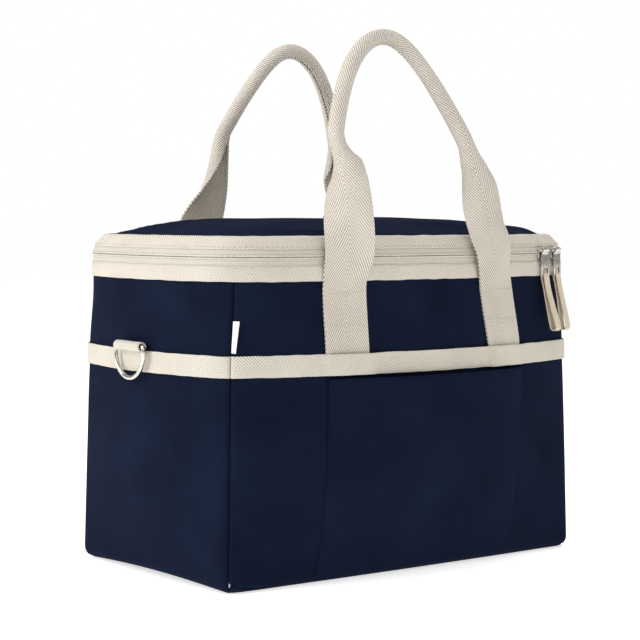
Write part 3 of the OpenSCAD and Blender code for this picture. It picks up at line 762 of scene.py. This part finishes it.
def strap_y(side, z):
    """How far forward a strap stands, so that the lid clears it as it swings up."""
    t = smooth((z - GRIP_Z) / (APEX_Z - GRIP_Z))
    reach = (1 - t) * (REACH_SIDE + 8.0) + t * (REACH_MID + 14.5)
    rise = max(0.0, z - LID_Z)
    return HINGE_Y - math.sqrt(reach * reach - rise * rise) + (BACK_SHIFT if side == BACK else 0)


def strap_half(z):
    return lookup(z, [(BAND_TOP, 85), (STITCH_Z, 81.5), (LID_Z + 14, 75), (GRIP_Z, 68)])


def strap_skew(z, side):
    """How far a strap leans to the left of the middle; the back one sags a little more above the lid."""
    leg = lookup(z, [(BAND_TOP, 2.5), (STITCH_Z, 7), (LID_Z + 14, 18.2), (GRIP_Z, 28)])
    sag = 8 * smooth((z - STITCH_Z) / 50) * smooth((GRIP_Z + 10 - z) / 60) if side == BACK else 0.0
    return 14 * max(0.0, (z - GRIP_Z) / (APEX_Z - GRIP_Z)) ** 4 - leg - sag


def handle_line(side):
    """The middle of a strap from the left foot, over the arch, to the right foot."""
    line = []
    low = BAND_TOP - 6
    for foot in (-1, 1):
        leg = []
        for i in range(60):
            z = low + (GRIP_Z - low) * i / 60
            x = strap_skew(z, side) + foot * strap_half(z)
            sewn = -abs(wall_at(side, x, min(z, STITCH_Z), 0.6 + STRAP_T / 2).y)
            free = 0.0 if z < STITCH_Z else smooth((z - STITCH_Z) / (LID_Z - STITCH_Z) * 1.15)
            leg.append(Vector((x, sewn + (strap_y(side, z) - sewn) * free, z)))
        if foot < 0:
            line += leg
            for i in range(61):
                q = math.pi * i / 60
                z = GRIP_Z + (APEX_Z - GRIP_Z) * math.sin(q) ** 2
                x = strap_skew(z, side) - strap_half(GRIP_Z) * math.cos(q)
                line.append(Vector((x, strap_y(side, z), z)))
        else:
            line += reversed(leg)
    for _ in range(6):
        line = [line[0]] + [(a + 2 * b + c) / 4 for a, b, c in zip(line, line[1:], line[2:])] + [line[-1]]
    run = [0.0]
    for a, b in zip(line, line[1:]):
        run.append(run[-1] + (b - a).length)
    out, j, count = [], 0, 330
    for i in range(count + 1):
        want = run[-1] * i / count
        while j < len(line) - 2 and run[j + 1] < want:
            j += 1
        out.append(line[j].lerp(line[j + 1], (want - run[j]) / max(1e-6, run[j + 1] - run[j])))
    return out


# Heights run up the left leg to the apex, and on down the right leg as twice the apex less the height.
# Degrees that the middle of a strap is turned from its panel towards the outside of the arch
CREST = {
    FRONT: [
        (245, 0), (285, 30), (306, 44), (322, 56), (338, 78), (356, 104), (446, 84), (470, 48),
        (490, 12), (536, -22), (554, -40), (570, -38), (592, -18), (607, -6), (647, 0),
    ],
    BACK: [
        (245, 0), (285, -30), (312, -36), (336, 10), (356, 60), (446, 76), (490, 58),
        (520, 46), (546, 30), (570, 6), (607, -16), (647, 0),
    ],
}
# How far a strap is rolled into a round grip
ROLL = {
    FRONT: [
        (285, 0), (306, 0.16), (322, 0.29), (338, 0.5), (346, 0.84), (353, 1), (537, 1),
        (551, 0.7), (565, 0.5), (579, 0.38), (592, 0.3), (604, 0.2), (620, 0),
    ],
    BACK: [
        (285, 0), (306, 0.16), (322, 0.29), (334, 0.5), (342, 0.84), (349, 1), (520, 1),
        (530, 0.8), (546, 0.58), (574, 0.4), (602, 0),
    ],
}
ROLL_R = STRAP_W / (1.94 * math.pi)


def make_strap(side, name, nodes):
    line = handle_line(side)
    last = len(line) - 1
    top = max(range(last + 1), key=lambda i: line[i].z)
    tangents = [(line[min(i + 1, last)] - line[max(i - 1, 0)]).normalized() for i in range(last + 1)]
    widths = [STRAP_W * (j / 24 - 0.5) for j in range(25)]
    face = []
    for i, (p, along) in enumerate(zip(line, tangents)):
        front = Vector((p.x / WALL_CURVE, -1, 0)).normalized()
        out_arch = Vector((0, -1, 0)).cross(along).normalized()
        climb = p.z if i < top else 2 * APEX_Z - p.z
        turn = math.radians(lookup(climb, CREST[side]))
        normal = (front * math.cos(turn) + out_arch * math.sin(turn)).normalized()
        normal = (normal - along * normal.dot(along)).normalized()
        face.append((normal, along.cross(normal).normalized(), lookup(climb, ROLL[side])))

    def place(i, w):
        p, (normal, across, fold) = line[i], face[i]
        if fold < 0.002:
            return p - across * w
        r = ROLL_R / fold
        a = -w / r
        oval = 1 + 0.1 * fold
        return p + normal * (r * (math.cos(a) - 1) + ROLL_R * fold) + across * (r * math.sin(a) * oval)

    piece = cloth(list(range(last + 1)), widths, place, thick=STRAP_T)
    ease(piece, 0.45)
    if side == BACK:
        move(piece, Matrix.Rotation(math.pi, 4, "Z"))
    finish(piece, name, WEBBING, None, 50)
    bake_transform(piece)
    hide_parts(*nodes)


make_strap(FRONT, "front_strap", ("front_handle", "front_handle_ends"))
make_strap(BACK, "back_strap", ("back_handle", "back_handle_ends"))


def strap_rows(side, z, name):
    """The stitching that holds a strap to its panel."""
    turn = Matrix.Rotation(math.pi, 4, "Z") if side == BACK else Matrix.Identity(4)
    for foot, end in ((-1, "left"), (1, "right")):
        middle = strap_skew(z, side) + foot * strap_half(z)
        row = [middle + 37.5 * (i / 12 - 0.5) for i in range(13)]
        points = [wall_at(side, x, z, 2.35) for x in row]
        normals = [turn @ Vector((x / WALL_CURVE, -1, 0)).normalized() for x in row]
        stitches(points, normals, f"{name}_{end}", PALE_THREAD, "bag", "ecru_webbing")


for level, rows_name in ((STITCH_Z - 1.2, "strap_stitches"), (209.0, "strap_low_stitches")):
    strap_rows(FRONT, level, "front_" + rows_name)
    strap_rows(BACK, level, "back_" + rows_name)

# ------------------------ webbing bands and rim


def over_strap(side, x):
    """The band steps over the strap ends that it holds."""
    if side not in (FRONT, BACK):
        return 0.0
    return 2.3 * smooth((23 - abs(abs(x) - 85)) / 4.5)


def make_band(side):
    def place(u, t):
        p = wall(side, u, (BAND_LOW + BAND_TOP) / 2)
        edge = 0.4 * ripple(p.x, p.y, t * 40, 12, 1.0 + side)
        z = BAND_LOW + (BAND_TOP - BAND_LOW) * t + edge * abs(2 * t - 1)
        gap = seam_gap(u, z)
        x = u / ARC_SHARE * (half_length(z) - corner(z))
        soft = 0.25 * ripple(p.x, p.y, z, 20, 6.1)
        return wall(side, u, z, 2.1 + over_strap(side, x) + soft + tuck(gap, 1.8, 2.4))

    piece = cloth(panel_cols(side), [i / 8 for i in range(9)], place, thick=1.4)
    ease(piece, 0.3)
    node = {FRONT: "front_band", RIGHT: "right_band", BACK: "back_band", LEFT: "left_band"}[side]
    finish(piece, node + "_webbing", TAPE, "bag", 50)
    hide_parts(node)


for wall_side in (FRONT, RIGHT, BACK, LEFT):
    make_band(wall_side)


def make_rim():
    cols = even_stations(0, 4, 3.4)

    def place(q, t):
        p = around(q, RIM_Z)
        edge = 0.5 * ripple(p.x, p.y, t * 30, 13, 9.0)
        z = WALL_Z + (RIM_Z - WALL_Z) * t + edge * (1 - t)
        soft = 0.35 * ripple(p.x, p.y, z * 0.4, 24, 2.7)
        return around(q, z, 1.7 + soft - 0.5 * smooth((t - 0.75) * 4))

    piece = cloth(cols, [i / 7 for i in range(8)], place, closed=True, thick=1.5)
    ease(piece, 0.3)
    finish(piece, "rim_herringbone", TAPE, "bag", 50)
    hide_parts("rim_webbing")


make_rim()

# ------------------------ zip

ZIP_COLS = even_stations(0.0, 3.0, 3.2)


def make_zip_tape(name, rows, body, node):
    def place(q, row):
        z, off = row
        p = around(q, z)
        return around(q, z, off + 0.2 * ripple(p.x, p.y, z, 22, 7.0))

    piece = cloth(ZIP_COLS, rows, place, thick=0.8)
    finish(piece, name, ZIP_TAPE, body, 50)
    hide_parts(node)


LOWER_TAPE = [(256.8, 0.3), (258.2, 0.5), (260.0, 0.5), (261.8, 0.3), (263.4, 0.1)]
UPPER_TAPE = [(265.1, 0.1), (266.8, 0.3), (268.6, 0.4), (270.4, 0.1), (272.4, -0.7)]
make_zip_tape("zip_tape_lower", LOWER_TAPE, "bag", "zip_tape_body")
make_zip_tape("zip_tape_upper", UPPER_TAPE, "lid", "zip_tape_lid")

TOOTH, COIL_STEP = 1.9, 0.48


def make_coil(name, z0, body, node):
    """One half of the closed coil: a row of tiny loops laid side by side."""
    cols = even_stations(0.0, 2.9999, COIL_STEP)
    turns = [-2 * math.pi * k / 8 for k in range(9)]
    run = {q: i * COIL_STEP for i, q in enumerate(cols)}

    def place(q, a):
        pulse = 0.5 + 0.5 * math.cos(2 * math.pi * run[q] / TOOTH)
        r = 0.92 * (0.8 + 0.2 * pulse)
        return around(q, z0 + r * math.sin(a) * 0.95, 0.55 + r * math.cos(a))

    piece = cloth(cols, turns, place)
    weld(piece, 0.01)
    finish(piece, name, COIL, body, 60)
    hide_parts(node)


make_coil("coil_lower", 263.35, "bag", "zip_coil_body")
make_coil("coil_upper", 265.2, "lid", "zip_coil_lid")

# ------------------------ lid


TAPE_TOP = [(278.4, 0.7), (279.4, -0.1), (280.1, -1.4), (280.5, -3.0), (280.9, -4.6)]


def make_lid_tape():
    """The webbing round the lid's edge, folded over onto its top."""
    profile = [(270.6, 0.9), (271.4, 1.1), (273.2, 1.15), (275.2, 1.1), (277.0, 0.95)] + TAPE_TOP

    def place(q, row):
        z, off = row
        p = around(q, z)
        edge = 0.4 * ripple(p.x, p.y, z, 12, 5.0) * (1 if row in (profile[0], profile[-1]) else 0.3)
        return around(q, z + edge, off + 0.3 * ripple(p.x, p.y, 0, 26, 3.3))

    piece = cloth(even_stations(0.0, 3.0, 3.2), profile, place, thick=1.2)
    ease(piece, 0.25)
    finish(piece, "lid_herringbone", TAPE, "lid", 50)
    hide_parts("lid_webbing")


make_lid_tape()


def make_hinge_tape():
    """The same webbing carried down the back as the lid's hinge."""
    profile = [(257, 1.2), (260, 1.2)] + [(z, 1.1) for z in (263, 266, 269, 272, 275.2)] + TAPE_TOP

    def place(u, row):
        z, off = row
        return wall(BACK, u * 0.998, z, off + 0.25 * ripple(u * 180, 0, z, 24, 1.3))

    piece = cloth([-1 + 2 * i / 90 for i in range(91)], profile, place, thick=1.1)
    finish(piece, "hinge_herringbone", TAPE, None, 50)
    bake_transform(piece)
    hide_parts("lid_hinge_strip")


make_hinge_tape()


def patch(s, t, z, off):
    """A place across the lid's plan, s along it and t from front to back, inside the outline at z."""
    a, b = (s + 1) / 2, (t + 1) / 2
    front, back = wall(FRONT, s, z, off), wall(BACK, -s, z, off)
    left, right = wall(LEFT, -t, z, off), wall(RIGHT, t, z, off)
    c00, c10 = wall(FRONT, -1, z, off), wall(FRONT, 1, z, off)
    c01, c11 = wall(BACK, 1, z, off), wall(BACK, -1, z, off)
    return (
        front * (1 - b) + back * b + left * (1 - a) + right * a
        - c00 * (1 - a) * (1 - b) - c10 * a * (1 - b) - c01 * (1 - a) * b - c11 * a * b
    )


def dome(s, t):
    k = (abs(s) ** 5 + abs(t) ** 5) ** 0.2
    return 1 - min(1.0, k) ** 2.6


def edge_spaced(count):
    """Stations from -1 to 1, closer at both ends."""
    even = [2 * i / count - 1 for i in range(count + 1)]
    return [math.sin(math.pi / 2 * s) * 0.6 + s * 0.4 for s in even]


def make_lid():
    def place(s, t):
        p = patch(s, t, LID_Z, -1.6)
        k = max(abs(s), abs(t))
        ridge = max(0.0, 1 - abs(ripple(p.x * 0.6 + p.y * 0.5, p.y * 1.1 - p.x * 0.25, 0, 60, 6.6)) * 2.4)
        crease = 2.2 * ridge**2 * smooth((1 - k) / 0.16) * smooth((k - 0.3) / 0.4)
        slack = 1.5 * ripple(p.x, p.y, 0, 70, 2.9) * smooth((1 - k) / 0.2)
        p.z = LID_Z + 1.3 + (DOME - 2.0) * dome(s, t) + slack + crease
        return p

    piece = cloth(edge_spaced(140), edge_spaced(90), place, thick=1.1)
    finish(piece, "lid_canvas", NAVY, "lid")
    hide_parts("lid_panel", "lid_foam")


make_lid()


def make_lid_lining():
    """Silver film under the lid, carried down its edge to the zip."""

    def under(s, t):
        p = patch(-s, t, 272.0, -4.0)
        k = max(abs(s), abs(t))
        p.z = 270.5 + (DOME - 6) * dome(s, t) + 0.9 * ripple(p.x, p.y, 0, 34, 3.9) * smooth((1 - k) / 0.1)
        return p

    def hanging(q, t):
        return around(q, 272.0 - 5.6 * t, -4.0 + 2.6 * t) + Vector((0, 0, -1.5 * (1 - t)))

    lining = cloth(edge_spaced(90), edge_spaced(60), under)
    skirt = cloth(even_stations(0, 4, 5.0), [0.0, 0.3, 0.6, 1.0], hanging, closed=True)
    piece = join([lining, skirt])
    modify(piece, "SOLIDIFY", thickness=0.6 * MM, offset=0)
    finish(piece, "lid_lining", FOIL, "lid", 60)
    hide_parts("lid_liner")


make_lid_lining()


def make_liner():
    """Silver film over the foam inside, turned out at the rim to meet the zip tape."""
    wall_rows = [(256.6, -0.9), (256.9, -2.5), (256.6, -5.0), (255.6, -7.0), (253.5, -7.8)]
    wall_rows += [(253 - 240 * i / 60, -7.9) for i in range(1, 61)] + [(10.5, -8.6), (9.2, -10.2), (8.8, -13)]

    def place(q, row):
        z, off = row
        p = around(q, z)
        crinkle = 0.8 * ripple(p.x, p.y, z, 30, 4.1) + 0.4 * ripple(p.x, p.y, z, 12, 8.1)
        return around(q, z, off - (0.8 + crinkle) * smooth((252 - z) / 20))

    piece = cloth(even_stations(0, 4, 4.5), wall_rows, place, closed=True)
    fill_hole(piece, lambda z: z < 20 * MM)
    bpy.ops.object.mode_set(mode="OBJECT")
    modify(piece, "SOLIDIFY", thickness=0.5 * MM, offset=0)
    finish(piece, "liner_film", FOIL, "bag", 60)
    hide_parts("liner_wall", "liner_floor")


make_liner()

# ------------------------ sewing on the lid tape and rim


def ring_stitches(z, off, name, paint, body, **sizes):
    cols = even_stations(0.0, 3.0, 2.5)
    points = [around(q, z, off) for q in cols]
    normals = [(around(q, z, off + 1) - p).normalized() for q, p in zip(cols, points)]
    stitches(points, normals, name, paint, body, "ecru_webbing", length=2.8, gap=1.5, **sizes)


ring_stitches(272.3, 1.05, "lid_tape_stitches", THREAD, "lid", width=0.7)
ring_stitches(256.0, 1.55, "rim_tape_stitches", PALE_THREAD, "bag", width=0.6)

# ------------------------ label, ring tabs and rings


def make_label():
    """A blank folded label caught in the front left corner seam."""

    def place(a, z):
        reach = 7.2 * a
        u = -0.995 + reach / half_length(z)
        return wall(FRONT, u, z, 0.6 + 2.4 * a * a + 0.5 * math.sin(z * 0.5) * a)

    piece = cloth([i / 8 for i in range(9)], [189.5 + 25 * i / 14 for i in range(15)], place, thick=0.9)
    ease(piece, 0.25)
    finish(piece, "seam_label", LABEL, "bag", 50)
    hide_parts("side_label")


make_label()

RING_X, RING_Z = 208.0, 190.5
TAB_HALF, TAB_TURN, TAB_BACK = 18.5, 3.5, 203.6


def make_ring_tab(sign, name, node):
    """Webbing folded round the ring's bar and sewn over the band."""
    strip = [(TAB_BACK - 0.2, 171.3)] + [(TAB_BACK, 173 + 2.2 * i) for i in range(6)]
    for degrees in range(215, -130, -15):
        a = math.radians(degrees)
        strip.append((RING_X + TAB_TURN * math.cos(a), RING_Z + TAB_TURN * math.sin(a)))
    strip.append((TAB_BACK, 185.6))

    def place(y, row):
        x, z = row
        soft = 0.25 * ripple(y, z, 0, 9, 5.5)
        return Vector((sign * (x + soft * 0.5), -sign * y, z + 0.3 * ripple(y, x, 1, 14, 2.0)))

    wide = [TAB_HALF * (i / 9 - 1) for i in range(19)]
    piece = cloth(wide, strip, place)
    modify(piece, "SOLIDIFY", thickness=1.4 * MM, offset=0)
    ease(piece, 0.3)
    finish(piece, name, TAPE, "bag", 60)
    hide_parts(node)


make_ring_tab(-1, "left_tab_webbing", "left_ring_tab")
make_ring_tab(1, "right_tab_webbing", "right_ring_tab")


def make_ring(sign, name, body, node):
    """A bent wire D: a straight bar, two short sides and a half round."""
    arm, side, turn = 21.0, 5.0, 2.5
    bends = [math.pi / 2 * i / 5 for i in range(6)]
    bow = [math.pi * i / 36 for i in range(37)]
    plan = [(y, 0) for y in (-14, -7, 0, 7, 14)]
    plan += [(arm - turn + turn * math.sin(a), turn * math.cos(a) - turn) for a in bends]
    plan += [(arm * math.cos(a), -side - arm * math.sin(a)) for a in bow]
    plan += [(turn - arm - turn * math.cos(a), turn * math.sin(a) - turn) for a in bends]
    piece = tube([Vector((sign * RING_X, y, RING_Z + z)) for y, z in plan], 1.9, closed=True, sides=14)
    finish(piece, name, NICKEL, body, 70)
    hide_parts(node)


make_ring(-1, "left_nickel_ring", "left_ring", "left_d_ring")
make_ring(1, "right_nickel_ring", "right_ring", "right_d_ring")

# ------------------------ zip sliders, pullers and ribbon loops

RIM_SWELL = SWELLS[FRONT][2]
FRONT_R = (HALF_LENGTH**2 + RIM_SWELL**2) / (2 * RIM_SWELL)
FRONT_OUT = half_depth(ZIP_Z) + RIM_SWELL
SLIDER_SETBACK = 13.0
FRONT_TURN = math.asin((HALF_LENGTH - RIM_CORNER - SLIDER_SETBACK) / FRONT_R)
CORNER_SEAM = wall(FRONT, 1, ZIP_Z)
CORNER_OUT = wall(FRONT, 1, ZIP_Z, 1) - CORNER_SEAM
CORNER_RUN = CORNER_SEAM - wall(FRONT, ARC_SHARE, ZIP_Z)
CORNER_R = CORNER_RUN.dot(CORNER_RUN) / (2 * CORNER_OUT.dot(CORNER_RUN))
CORNER_TURN = math.radians(17)
LOOP_LEAN = math.radians(12)
BRIDGE_OUT, BRIDGE_Z = 4.9, 3.2


def on_front():
    return (
        Matrix.Translation(Vector((0, FRONT_R - FRONT_OUT, ZIP_Z)) * MM)
        @ Matrix.Rotation(FRONT_TURN, 4, "Z")
        @ Matrix.Translation(Vector((0, -FRONT_R, 0)) * MM)
    )


def on_corner():
    return (
        Matrix.Translation((CORNER_SEAM - CORNER_R * CORNER_OUT) * MM)
        @ Matrix.Rotation(CORNER_TURN, 4, "Z")
        @ Matrix.Translation(Vector((0, -CORNER_R, 0)) * MM)
    )


def make_slider(seat, name, node):
    """A cast slider: two shields joined by a post, with a bridge for the puller."""
    front = block((11.5, 1.3, 8.6), (0, -1.95, 0), 0.55, 4)
    bpy.ops.object.mode_set(mode="EDIT")
    bpy.ops.mesh.select_all(action="DESELECT")
    made = bmesh.from_edit_mesh(front.data)
    for v in made.verts:
        v.select = v.co.x > 2 * MM
    made.select_flush(True)
    bmesh.update_edit_mesh(front.data)
    bpy.ops.transform.resize(value=(1, 1, 0.8), center_override=(0, 0, 0))
    bpy.ops.object.mode_set(mode="OBJECT")
    back = block((11.5, 1.1, 8.6), (0, 4.4, 0), 0.5, 3)
    post = block((6.0, 6.0, 1.1), (0, 1.1, 0), 0.2, 2)
    sweep = [math.pi * i / 12 for i in range(13)]
    hoop = [Vector((-3.9 * math.cos(a), -2.2 - 2.9 * math.sin(a) ** 0.8, BRIDGE_Z - 0.2)) for a in sweep]
    bridge = tube(hoop, 0.95, sides=12)
    feet = [block((2.4, 1.6, 3.2), (x, -2.7, BRIDGE_Z - 0.4), 0.5, 3) for x in (-3.9, 3.9)]
    piece = join([front, back, post, bridge] + feet)
    move(piece, seat)
    finish(piece, name, NICKEL, node, 50)
    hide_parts(node)


def make_puller(seat, name, node):
    """A flat stamped puller: an eye above, and an arched slot below for the ribbon."""
    plate = block((11.0, 1.5, 20.6), (0, -BRIDGE_OUT, BRIDGE_Z - 13.7), 0.5, 4)
    neck = block((8.4, 1.5, 5.0), (0, -BRIDGE_OUT, BRIDGE_Z - 2.2), 0.45, 3)
    eye = rod(2.0, 8.4, (0, -BRIDGE_OUT, BRIDGE_Z), "X", 32, 0.35)
    cut(neck, rod(1.15, 14, (0, -BRIDGE_OUT, BRIDGE_Z), "X", 24))
    cut(eye, rod(1.15, 14, (0, -BRIDGE_OUT, BRIDGE_Z), "X", 24))
    cut(eye, block((4.6, 8, 3.2), (0, -BRIDGE_OUT, BRIDGE_Z + 1.9), 0.3, 2))
    cut(plate, block((8.4, 8, 2.6), (0, -BRIDGE_OUT, BRIDGE_Z - 20.9), 0.3, 2))
    cut(plate, rod(4.2, 8, (0, -BRIDGE_OUT, BRIDGE_Z - 19.8), "Y", 40))
    piece = join([plate, neck, eye])
    move(piece, seat)
    finish(piece, name, NICKEL, node, 35)
    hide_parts(node)


def make_loop(seat, name, node, sway):
    """Ribbon folded through the puller and sewn into a loop."""
    top = BRIDGE_Z - 22.2
    length = 46.0
    over_bar, foot = 1.75, 2.85
    side = []
    for i in range(7):
        a = math.radians(90 - 15 * i)
        side.append((over_bar * math.cos(a), over_bar * math.sin(a)))
    for i in range(1, 22):
        t = i / 21
        waist = 0.5 * math.sin(math.pi * min(1, 2 * t))
        side.append((over_bar - waist + (foot - over_bar) * smooth((t - 0.45) / 0.5), -t * length))
    for i in range(1, 7):
        a = math.radians(-15 * i)
        side.append((foot * math.cos(a), foot * math.sin(a) - length))
    path = side + [(-x, z) for x, z in reversed(side[1:-1])]

    def place(i, x):
        d, z = path[i % len(path)]
        t = min(1.0, max(0.0, -z / length))
        return Vector((sway * t * t - x, -BRIDGE_OUT - d - 0.4 * t, top + z))

    widths = [3.9 * (i / 4 - 1) for i in range(9)]
    piece = cloth(list(range(len(path) + 1)), widths, place, closed=True)
    modify(piece, "SOLIDIFY", thickness=0.9 * MM, offset=0)
    ease(piece, 0.25)
    bar = Matrix.Translation(Vector((0, -BRIDGE_OUT, BRIDGE_Z - 23.1)) * MM)
    move(piece, seat @ bar @ Matrix.Rotation(-LOOP_LEAN, 4, "X") @ bar.inverted())
    finish(piece, name, RIBBON, node, 60)
    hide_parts(node)


for seat_name, zip_seat, loop_sway in (("front", on_front(), 3.0), ("side", on_corner(), -1.5)):
    make_slider(zip_seat, f"{seat_name}_zip_slider", f"{seat_name}_slider")
    make_puller(zip_seat, f"{seat_name}_zip_puller", f"{seat_name}_puller")
    make_loop(zip_seat, f"{seat_name}_ribbon_loop", f"{seat_name}_pull_loop", loop_sway)

# ------------------------ floor

clear()
bpy.ops.mesh.primitive_plane_add(size=40)
floor = bpy.context.object
floor.name = "floor"
floor.data.materials.append(FLOOR)
